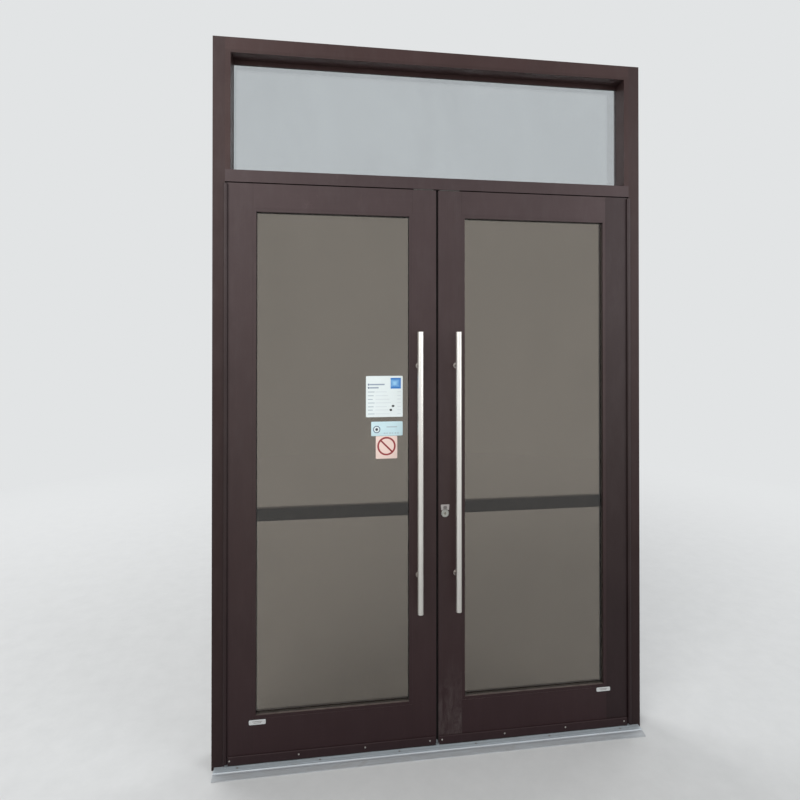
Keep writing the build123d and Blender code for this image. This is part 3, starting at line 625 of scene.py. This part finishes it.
def circle(x, z, r, steps=32):
    return arc(x, z, r, 0, 360, steps)[:-1]


# glazing gaskets: rounded lips that press on both faces of each unit
LEAF_LIP = ((5, 0), (13.5, 0), (14.2, 0.3), (14.5, 0.9), (14.2, 1.6), (13.5, 2.2), (12.4, 2.4), (5, 2.4))
TRANSOM_LIP = ((-8, 0), (0.4, 0), (1.4, 0.3), (1.8, 1.0), (1.4, 1.8), (0.2, 2.5), (-1, 2.9), (-8, 2.9))
OUTER_STOPS = (22, 16, 30)
INNER_STOPS = (14, 14, 14)


def transom_sight(side, foot, head):
    """The transom's clear opening inside stops that are this wide at the sides, foot and head."""
    return (side - HALF_OPENING, HALF_OPENING - side, TRANSOM_FOOT + foot, TRANSOM_HEAD - head)


for side, s in SIDES:
    form = Form("rubber")
    x0, x1 = sorted((s * LIGHT_IN, s * LIGHT_OUT))
    form.around(x0, x1, LIGHT_FOOT, LIGHT_HEAD, LEAF_LIP, GLASS_FRONT, -1)
    form.around(x0, x1, LIGHT_FOOT, LIGHT_HEAD, LEAF_LIP, GLASS_BACK, 1)
    form.done(f"{side}_glazing_lips", f"{side}_leaf", (f"{side}_gaskets",), sharp=50)
form = Form("rubber")
form.around(*transom_sight(*OUTER_STOPS), TRANSOM_LIP, TRANSOM_FRONT, -1)
form.around(*transom_sight(*INNER_STOPS), TRANSOM_LIP, TRANSOM_BACK, 1)
form.done("transom_glazing_lips", "frame", ("transom_gaskets",), sharp=50)


# weatherstrip in the stops: a stem in the slot, a flat base and a curled bulb towards the leaves
STOP_EDGE = span("right_jamb_stop", "x")[0]
STOP_FACE = span("right_jamb_stop", "y")[0]
SEAL_MIDDLE = 8.5
SEAL_GAP = 0.2
BULB_WIDE, BULB_HIGH, BULB_BASE = 4.7, 2.85, 1.45
BULB_START, BULB_STEPS = 8, 12


def bulb_profile():
    """Across from the middle of the strip, and out from the slotted face."""
    points = [(-1.3, -3.9), (1.3, -3.9), (1.3, 0), (5.3, 0), (5.4, 0.7), (5.0, 1.3), (4.4, 1.4)]
    for i in range(BULB_STEPS + 1):
        a = math.radians(BULB_START + (180 - BULB_START) * i / BULB_STEPS)
        points.append((BULB_WIDE * math.cos(a), BULB_BASE + BULB_HIGH * math.sin(a)))
    return points + [(-5.2, 0.9), (-5.3, 0), (-1.3, 0)]


BULB = bulb_profile()
form = Form("rubber")
for s in (-1, 1):
    form.skin([[(s * (HALF_OPENING - SEAL_MIDDLE + u), STOP_FACE - v, z) for u, v in BULB]
               for z in (SILL, OPENING_TOP - SEAL_GAP)])
form.skin([[(x, STOP_FACE - v, OPENING_TOP - SEAL_MIDDLE + u) for u, v in BULB]
           for x in (SEAL_GAP - STOP_EDGE, STOP_EDGE - SEAL_GAP)])
form.done("bulb_weatherstrip", "frame", ("stop_weatherstrip",), sharp=40)


# bottom sweeps: a bead held in the carrier and a ribbed blade that ripples a little at its tip
SWEEP_Y = middle("right_sweep_seal", "y")
SWEEP_X = (8.0, 891.3)
SWEEP_STEPS = 90
BLADE = ((1.2, 27.6), (1.2, 23.2), (0.7, 22.4), (0.7, 20.6), (1.0, 20.2), (0.7, 19.8), (0.7, 18.2),
         (1.0, 17.8), (0.7, 17.4), (0.6, 15.4), (0.45, 13.3), (0.2, 13.02), (-0.2, 13.02), (-0.5, 13.4),
         (-0.7, 17.4), (-0.7, 22.4), (-1.2, 23.2), (-1.2, 27.6))
RIPPLE_TOP, RIPPLE_FADE = 22, 9
LONG_WAVE, LONG_RATE = 0.45, 0.031
SHORT_WAVE, SHORT_RATE = 0.25, 0.083
CARRIER_FACE = span("right_sweep_carrier", "y")[0]
CARRIER_SCREW_Z = 36
CARRIER_SCREWS = {"left": (-884, -599, -317.5, -34), "right": (20, 305, 590, 875)}
for side, s in SIDES:
    form = Form("sweep")
    x0, x1 = sorted(s * x for x in SWEEP_X)
    loops = []
    for i in range(SWEEP_STEPS + 1):
        x = x0 + (x1 - x0) * i / SWEEP_STEPS
        wave = LONG_WAVE * math.sin(x * LONG_RATE + s) + SHORT_WAVE * math.sin(x * SHORT_RATE)
        loops.append([(x, SWEEP_Y + u + wave * max(0.0, RIPPLE_TOP - z) / RIPPLE_FADE, z)
                      for u, z in BLADE])
    form.skin(loops)
    form.done(f"{side}_sweep_blade", f"{side}_leaf", (f"{side}_sweep_seal",), sharp=50)
    form = Form("screw")
    for x in CARRIER_SCREWS[side]:
        pan_head(form, (x, CARRIER_FACE, CARRIER_SCREW_Z), (0, -1, 0), r=3.6, h=1.9)
    form.done(f"{side}_sweep_screws", f"{side}_leaf")

# pile strip on the meeting edge: a backing and two staggered rows of tufts
BACKING_X = 3.5
BACKING_Y = (-39.4, -30.4)
TUFT_ROWS = (-36.0, -33.8)
TUFT, TUFT_HALF, TUFT_START = 2.0, 1.1, 0.3
TIP_X, TIP_LOW, TIP_HIGH = -4.6, 0.35, 1.7
REACH, LEAN, THICK = (-0.15, 0.35), (-0.5, 0.5), (0.55, 0.95)
draw = random.Random(11)
form = Form("rubber", "pile")
near_y, far_y = BACKING_Y
form.skin([[(MEETING_X, near_y, z), (BACKING_X, near_y, z), (BACKING_X, far_y, z), (MEETING_X, far_y, z)]
           for z in (LEAF_BOTTOM, LEAF_TOP)])
form.ink("pile")
for row, y in enumerate(TUFT_ROWS):
    z = LEAF_BOTTOM + TUFT_START + row * TUFT / 2
    while z + TUFT < LEAF_TOP:
        tip = TIP_X + draw.uniform(*REACH)
        lean = draw.uniform(*LEAN)
        thick = draw.uniform(*THICK)
        root = [(BACKING_X, y + dy, z + dz)
                for dy, dz in ((-TUFT_HALF, 0), (TUFT_HALF, 0), (TUFT_HALF, TUFT), (-TUFT_HALF, TUFT))]
        end = [(tip, y + lean + dy, z + dz)
               for dy, dz in ((-thick, TIP_LOW), (thick, TIP_LOW), (thick, TIP_HIGH), (-thick, TIP_HIGH))]
        form.skin([root, end])
        z += TUFT
form.done("right_pile_strip", "right_leaf", ("right_meeting_strip",), sharp=20)

# screws of the hinge plates, in two staggered columns
HINGE_SCREWS = 8
HINGE_SCREW_Y = (-31.0, -47.0)
HINGE_SCREW_Z, HINGE_SCREW_PITCH = 120, 316
FRAME_PLATE_X, LEAF_PLATE_X = 903.0, 901.0
LEAF_SHIFT = 12
for side, s in SIDES:
    for half, face, out, shift, body in (("frame", FRAME_PLATE_X, -1, 0, "frame"),
                                         ("leaf", LEAF_PLATE_X, 1, LEAF_SHIFT, f"{side}_leaf")):
        form = Form("dark_screw")
        for i in range(HINGE_SCREWS):
            z = HINGE_SCREW_Z + i * HINGE_SCREW_PITCH + shift
            flat_head(form, (s * face, HINGE_SCREW_Y[i % 2], z), (s * out, 0, 0), r=4.6, h=0.35)
        form.done(f"{side}_hinge_screws_{half}", body)

# screws of the strikes, two to each, and of the threshold, in front of and behind the leaves
STRIKE_X, STRIKE_REACH, STRIKE_Y = middle("right_lock_stile", "x"), 36, -34.9
STRIKE_FACE = span("header_strikes", "z")[0]
SILL_SCREW_X = (-850, -510, -170, 170, 510, 850)
SILL_SCREW_Y = (-72.0, 18.5)
form = Form("plated")
for s in (-1, 1):
    for k in (-1, 1):
        place = (s * STRIKE_X + k * STRIKE_REACH, STRIKE_Y, STRIKE_FACE)
        flat_head(form, place, (0, 0, -1), r=4.2, h=0.4)
form.done("strike_screws", "frame")
form = Form("screw")
for x in SILL_SCREW_X:
    for y in SILL_SCREW_Y:
        flat_head(form, (x, y, SILL), (0, 0, 1), r=4.2, h=0.2)
form.done("threshold_screws", "frame")

# exit device details on the inside: case screws, dogging sockets and ribbed grips on the pads
DEVICE_Z = middle("right_exit_rail", "z")
CAP_X, CAP_FACE = middle("right_exit_end_cap", "x"), span("right_exit_end_cap", "y")[1]
HEAD_X, HEAD_FACE = middle("right_exit_head", "x"), span("right_exit_head", "y")[1]
RAIL_FACE = span("right_exit_rail", "y")[1]
PAD_FACE = span("right_push_pad", "y")[1]
CAP_SCREW_Z, HEAD_SCREW_Z = 17, 56
SOCKET_X = 690
GRIP_X = (122, 552)
GRIP_RIBS, RIB_PITCH, RIB_FIRST = 6, 2.2, -6


def grip_profile():
    """Up from the middle of the pad, and out from its face."""
    points = [(-7, 0), (-7, 0.5)]
    for i in range(GRIP_RIBS):
        z = RIB_FIRST + i * RIB_PITCH
        points += [(z, 1.0), (z + RIB_PITCH / 2, 1.0), (z + RIB_PITCH / 2, 0.55), (z + RIB_PITCH, 0.55)]
    return points + [(7.4, 0.5), (7.4, 0)]


for side, s in SIDES:
    form = Form("dark_screw")
    for k in (-1, 1):
        pan_head(form, (s * CAP_X, CAP_FACE, DEVICE_Z + k * CAP_SCREW_Z), (0, 1, 0), r=2.3, h=1.0)
    for k in (-1, 1):
        flat_head(form, (s * HEAD_X, HEAD_FACE, DEVICE_Z + k * HEAD_SCREW_Z), (0, 1, 0), r=3.6, h=0.4)
    form.done(f"{side}_device_screws", f"{side}_leaf")
    form = Form("plated")
    socket = hex_recess(2.6)
    form.turned((s * SOCKET_X, RAIL_FACE, DEVICE_Z), (0, 1, 0),
                ((6.5, 0), (6.5, 0.5), (5.8, 0.9), (3.6, 0.9), (socket, 0.9), (socket, 0.15)), steps=36)
    form.done(f"{side}_dogging_socket", f"{side}_leaf")
    form = Form("rubber")
    form.skin([[(x, PAD_FACE + v, DEVICE_Z + u) for u, v in grip_profile()]
               for x in sorted(s * x for x in GRIP_X)])
    form.done(f"{side}_pad_grip", f"{side}_pad", sharp=20)

# blank plates low on both leaves, each on a dark backing that is painted shadow round its edge, with a
# rivet at either end and faint lines
SHADOW_RIM, SHADOW_RIM_THICK = 1.8, 0.4
PLATE_FACE = FRONT - 1.3
RIVET_FROM_END = 6
RIVET = ((1.9, 0), (1.8, 0.3), (1.2, 0.6), (0.5, 0.7))
PLATES = (("left", -771, 185, 34.5, 10), ("right", 776, 189, 33, 9))
for side, x, z, half_x, half_z in PLATES:
    form = Form("rubber", "plate", "screw", "wedge_dark")
    # the dark backing: painted shadow round the plate
    form.sheet(rounded_about(x, z, half_x + SHADOW_RIM, half_z + SHADOW_RIM, r=5),
               FRONT, FRONT - SHADOW_RIM_THICK)
    form.ink("plate")
    form.sheet(rounded_about(x, z, half_x, half_z, r=4), FRONT - SHADOW_RIM_THICK, PLATE_FACE, edge=0.4)
    form.ink("screw")
    for k in (-1, 1):
        form.turned((x + k * (half_x - RIVET_FROM_END), PLATE_FACE, z), (0, -1, 0), RIVET, steps=20)
    form.ink("wedge_dark")
    for k, reach in ((1, 0.6), (-1, 0.45)):
        form.sheet(rounded_about(x, z + k * half_z * 0.3, half_x * reach, 1.1, r=1),
                   PLATE_FACE, PLATE_FACE - 0.1, edge=0.03)
    form.done(f"{side}_blank_plate", f"{side}_leaf")

# wedge-shaped plate with a dark field that sits on the key cylinder's ring, and the ring's turned trim
KEY_X, KEY_Z = middle("right_key_cylinder", "x"), middle("right_key_cylinder", "z")
KEY_FACE = span("right_key_cylinder", "y")[0]
WEDGE_TOP = ((17.9, 13), (19.9, 36.5), (18.5, 38), (-17.5, 38), (-18.9, 36.5), (-16.7, 13))
WEDGE_HOLLOW = 18.2
WEDGE_FIELD = ((9.5, 20.5), (7.5, 32), (-6.5, 32), (-8.5, 20.5), (-4.5, 19.6), (0, 19.2), (4.5, 19.6))
WEDGE_FACE = FRONT - 1.4
TRIM = ((16.3, 0), (16.0, 0.6), (15.2, 0.8), (14.4, 0.6), (14.0, 0.1), (13.6, 0.5), (12.6, 0.6),
        (9.2, 0.15), (8.8, 0))


def by_key(points):
    return [(KEY_X + x, KEY_Z + z) for x, z in points]


form = Form("wedge", "wedge_dark")
form.sheet(by_key(WEDGE_TOP) + arc(KEY_X, KEY_Z, WEDGE_HOLLOW, 134, 53, 9), FRONT, WEDGE_FACE, edge=0.3)
form.ink("wedge_dark")
form.sheet(by_key(WEDGE_FIELD), WEDGE_FACE, WEDGE_FACE - 0.3, edge=0.2)
form.done("right_wedge_plate", "right_leaf")
form = Form("cylinder")
form.ring(KEY_X, KEY_Z, [(r, KEY_FACE - rise) for r, rise in TRIM])
form.done("right_cylinder_trim", "right_leaf")

# stickers on the outside of the left glass: blank fields of colour and simple shapes
FACE = GLASS_FRONT - 0.02
SHEET = FACE - 0.25
INK = SHEET - 0.08
SUNK = SHEET + 0.05
DOT = INK - 0.05


def mark(form, x0, x1, z, half):
    """A printed bar, from one X to another about a level."""
    form.bar(x0, x1, z - half, z + half, SUNK, INK)


# the card: a grid of cells, so that its lower right corner can stand a little off the glass
CARD_X, CARD_Z = (-313.6, -151.9), (1453.9, 1633.4)
COLUMNS, ROWS = 20, 22
CORNER_CUT = 0.9
LIFT_REACH, LIFT_HIGH = 34, 3.2
STICKER_R = 4
BLUE = (-205.5, -160.3, 1577.6, 1624.5)
HEADINGS = ((1596, -232), (1582, -258))
HEADING_X, BULLET_X = -297, (-304.8, -298.5)
DOTS = ((-200.5, -188.5, 1497, 1506), (-210, -199, 1479.5, 1489))
ROW_LEVELS = (1563.8, 1547.4, 1531.5, 1515.9, 1499.1, 1484.9, 1468.1)
SHORT_X, LONG_X, TAIL_X = (-305, -276), (-272, -222), (-176, -160)
ROW_HALF = 1.8


def card_point(form, i, j, y):
    x = CARD_X[0] + (CARD_X[1] - CARD_X[0]) * i / COLUMNS
    z = CARD_Z[0] + (CARD_Z[1] - CARD_Z[0]) * j / ROWS
    if i in (0, COLUMNS) and j in (0, ROWS):
        x += CORNER_CUT if i == 0 else -CORNER_CUT
        z += CORNER_CUT if j == 0 else -CORNER_CUT
    return form.point(x, y, z)


def card_blank(form):
    """Back and front grids of the card, joined round their rim."""
    back, front = [[[card_point(form, i, j, y) for i in range(COLUMNS + 1)] for j in range(ROWS + 1)]
                   for y in (FACE, SHEET)]
    for grid in (back, front):
        for j in range(ROWS):
            for i in range(COLUMNS):
                form.face((grid[j][i], grid[j][i + 1], grid[j + 1][i + 1], grid[j + 1][i]))
    rim = ([(0, i) for i in range(COLUMNS)] + [(j, COLUMNS) for j in range(ROWS)]
           + [(ROWS, i) for i in range(COLUMNS, 0, -1)] + [(j, 0) for j in range(ROWS, 0, -1)])
    for (j0, i0), (j1, i1) in zip(rim, rim[1:] + rim[:1]):
        form.face((back[j0][i0], back[j1][i1], front[j1][i1], front[j0][i0]))


def lift(x, y, z):
    """The card's lower right corner stands a little off the glass."""
    near = max(0.0, 1 - math.hypot(x - CARD_X[1], z - CARD_Z[0]) / LIFT_REACH)
    return (x, y - LIFT_HIGH * near * near, z)


form = Form("card", "card_blue", "card_head", "card_mark", "card_row", "card_faint", "card_dot")
card_blank(form)
form.ink("card_blue")
form.bar(*BLUE, SUNK, INK)
for z, end in HEADINGS:
    form.ink("card_head")
    mark(form, HEADING_X, end, z, half=3)
    form.ink("card_mark")
    mark(form, *BULLET_X, z, half=4)
form.ink("card_dot")
for dot in DOTS:
    form.sheet(rounded(*dot, r=STICKER_R), SHEET, DOT, edge=0.03)
for k, z in enumerate(ROW_LEVELS):
    form.ink("card_row")
    mark(form, SHORT_X[0], SHORT_X[1] - k % 3 * 4, z, ROW_HALF)
    form.ink("card_faint")
    mark(form, LONG_X[0], LONG_X[1] + k * 5 % 4 * 6, z, ROW_HALF)
    mark(form, *TAIL_X, z, ROW_HALF)
form.warp(lift)
form.done("left_card", "left_leaf", sharp=50)

# the label: a ringed dot, a bar and a row of short bars
LABEL = (-290.6, -152, 1371.4, 1434)
BADGE_X, BADGE_Z = -266.6, 1399.9
LINE_X, LINE_Z = (-224, -177), 1410
DASH_X, DASH_PITCH, DASH_LONG, DASH_Z = -236, 12, 8, 1383
form = Form("label", "label_ring", "label_dot", "card", "card_row")
form.sheet(rounded(*LABEL, r=STICKER_R), FACE, SHEET, edge=0.05)
form.ink("label_ring")
form.annulus(BADGE_X, BADGE_Z, 12.2, 16, SHEET, INK)
form.ink("card")
form.annulus(BADGE_X, BADGE_Z, 6.5, 10.5, SHEET, INK)
form.ink("label_dot")
form.sheet(circle(BADGE_X, BADGE_Z, 6), SHEET, DOT, edge=0.03)
form.ink("card_row")
mark(form, *LINE_X, LINE_Z, half=2)
for k in range(6):
    x = DASH_X + k * DASH_PITCH
    mark(form, x, x + DASH_LONG - k % 2 * 2, DASH_Z, half=2)
form.done("left_label", "left_leaf", sharp=50)

# the sign: a red ring with a slash from its upper left to its lower right
SIGN = (-270.6, -176, 1272, 1370.5)
RING_X, RING_Z, RING_R = -223.6, 1326.3, 40.5
RING_BAND = 7.5
SLASH_LONG, SLASH_HALF = 34.5, 3.6
form = Form("sign", "sign_red")
form.sheet(rounded(*SIGN, r=STICKER_R), FACE, SHEET, edge=0.05)
form.ink("sign_red")
form.annulus(RING_X, RING_Z, RING_R - RING_BAND, RING_R, SHEET, INK)
slash = []
for end, edge in ((-1, -1), (1, -1), (1, 1), (-1, 1)):
    along, off = end * SLASH_LONG, edge * SLASH_HALF
    slash.append((RING_X + (along + off) * math.sqrt(0.5), RING_Z + (off - along) * math.sqrt(0.5)))
form.skin([[(x, y, z) for x, z in slash] for y in (SUNK, INK)])
form.done("left_sign", "left_leaf", sharp=50)


# soft lamps, in metres and watts
def lamp(name, place, aim_z, size, power, colour=(1, 1, 1)):
    """A square lamp that looks at the middle of the door at a height."""
    data = bpy.data.lights.new(name, "AREA")
    data.shape = "RECTANGLE"
    data.size = data.size_y = size
    data.energy = power
    data.color = colour
    made = bpy.data.objects.new(name, data)
    bpy.context.scene.collection.objects.link(made)
    made.location = place
    made.rotation_euler = (Vector((0, 0, aim_z)) - Vector(place)).to_track_quat("-Z", "Y").to_euler()
    made.visible_camera = False
    made.visible_transmission = False


lamp("key", (-5.2, -6.6, 5.2), 1.5, 6.0, 440, (1.0, 0.99, 0.97))
lamp("fill", (7.2, -5.2, 3.2), 1.4, 5.0, 240, (0.97, 0.985, 1.0))
lamp("rear", (-5.4, 6.4, 5.0), 1.5, 6.0, 335)
lamp("rear_fill", (7.2, 5.0, 3.2), 1.4, 5.0, 195)

# world: an even light, and a pale backdrop for the camera, reflections and the view through glass
PALE = srgb(226, 228, 229)
SKY = (0.96, 0.98, 1.0, 1)
world = bpy.data.worlds.new("studio")
bpy.context.scene.world = world
world.use_nodes = True
sky = world.node_tree
sky.nodes.clear()


def background(colour, strength):
    made = sky.nodes.new("ShaderNodeBackground")
    made.inputs["Color"].default_value = colour
    made.inputs["Strength"].default_value = strength
    return made.outputs[0]


sky_path = sky.nodes.new("ShaderNodeLightPath")
seen = sky_path.outputs["Is Camera Ray"]
for ray in ("Is Glossy Ray", "Is Transmission Ray"):
    either = sky.nodes.new("ShaderNodeMath")
    either.operation = "MAXIMUM"
    sky.links.new(seen, either.inputs[0])
    sky.links.new(sky_path.outputs[ray], either.inputs[1])
    seen = either.outputs[0]
sky_mix = sky.nodes.new("ShaderNodeMixShader")
sky.links.new(seen, sky_mix.inputs["Fac"])
sky.links.new(background(SKY, 0.5), sky_mix.inputs[1])
sky.links.new(background(PALE, 1.0), sky_mix.inputs[2])
sky.links.new(sky_mix.outputs[0], sky.nodes.new("ShaderNodeOutputWorld").inputs["Surface"])

# floor: a plain pale disc that fades into the backdrop
FLOOR_RADIUS = 40.0
FLOOR_DROP = 0.0005
FADE = (2.2, 6.5)
floor_mesh = bpy.data.meshes.new("floor")
build = bmesh.new()
bmesh.ops.create_circle(build, cap_ends=True, segments=96, radius=FLOOR_RADIUS)
build.to_mesh(floor_mesh)
build.free()
floor = bpy.data.objects.new("floor", floor_mesh)
bpy.context.scene.collection.objects.link(floor)
floor.location.z = -FLOOR_DROP
pave = Shader("floor_pale", rough=0.85)
pave.feed(colour=pave.mix(pave.remap(pave.noise(9, detail=6.0, rough=0.7), USUAL), srgb(211, 212, 212),
                          srgb(217, 218, 218)))
far = pave.node("ShaderNodeVectorMath", operation="LENGTH")
pave.link(pave.position, far.inputs[0])
glow = pave.node("ShaderNodeEmission")
glow.inputs["Color"].default_value = PALE
blend_floor = pave.node("ShaderNodeMixShader")
pave.link(pave.remap(far.outputs["Value"], FADE), blend_floor.inputs["Fac"])
pave.link(pave.bsdf.outputs["BSDF"], blend_floor.inputs[1])
pave.link(glow.outputs["Emission"], blend_floor.inputs[2])
pave.link(blend_floor.outputs["Shader"], pave.out.inputs["Surface"])
floor_mesh.materials.append(pave.material)

# camera, fitted to the photograph: its focal length and centre in pixels, its place, tilt and turn
FOCAL_PX, FRAME_PX, SENSOR = 546.0, 800.0, 36.0
CENTRE_PX = (400.8, 340.3)
EYE = (-0.4910, -2.4206, 1.7767)
TILT, TURN = 0.0053, -0.1382
camera_data = bpy.data.cameras.new("camera")
camera_data.sensor_width = SENSOR
camera_data.lens = FOCAL_PX / FRAME_PX * SENSOR
camera_data.shift_x = (FRAME_PX / 2 - CENTRE_PX[0]) / FRAME_PX
camera_data.shift_y = (CENTRE_PX[1] - FRAME_PX / 2) / FRAME_PX
camera = bpy.data.objects.new("camera", camera_data)
bpy.context.scene.collection.objects.link(camera)
camera.location = EYE
camera.rotation_euler = (math.radians(90) + TILT, 0.0, TURN)
bpy.context.scene.camera = camera
bpy.context.scene.view_settings.view_transform = "Standard"
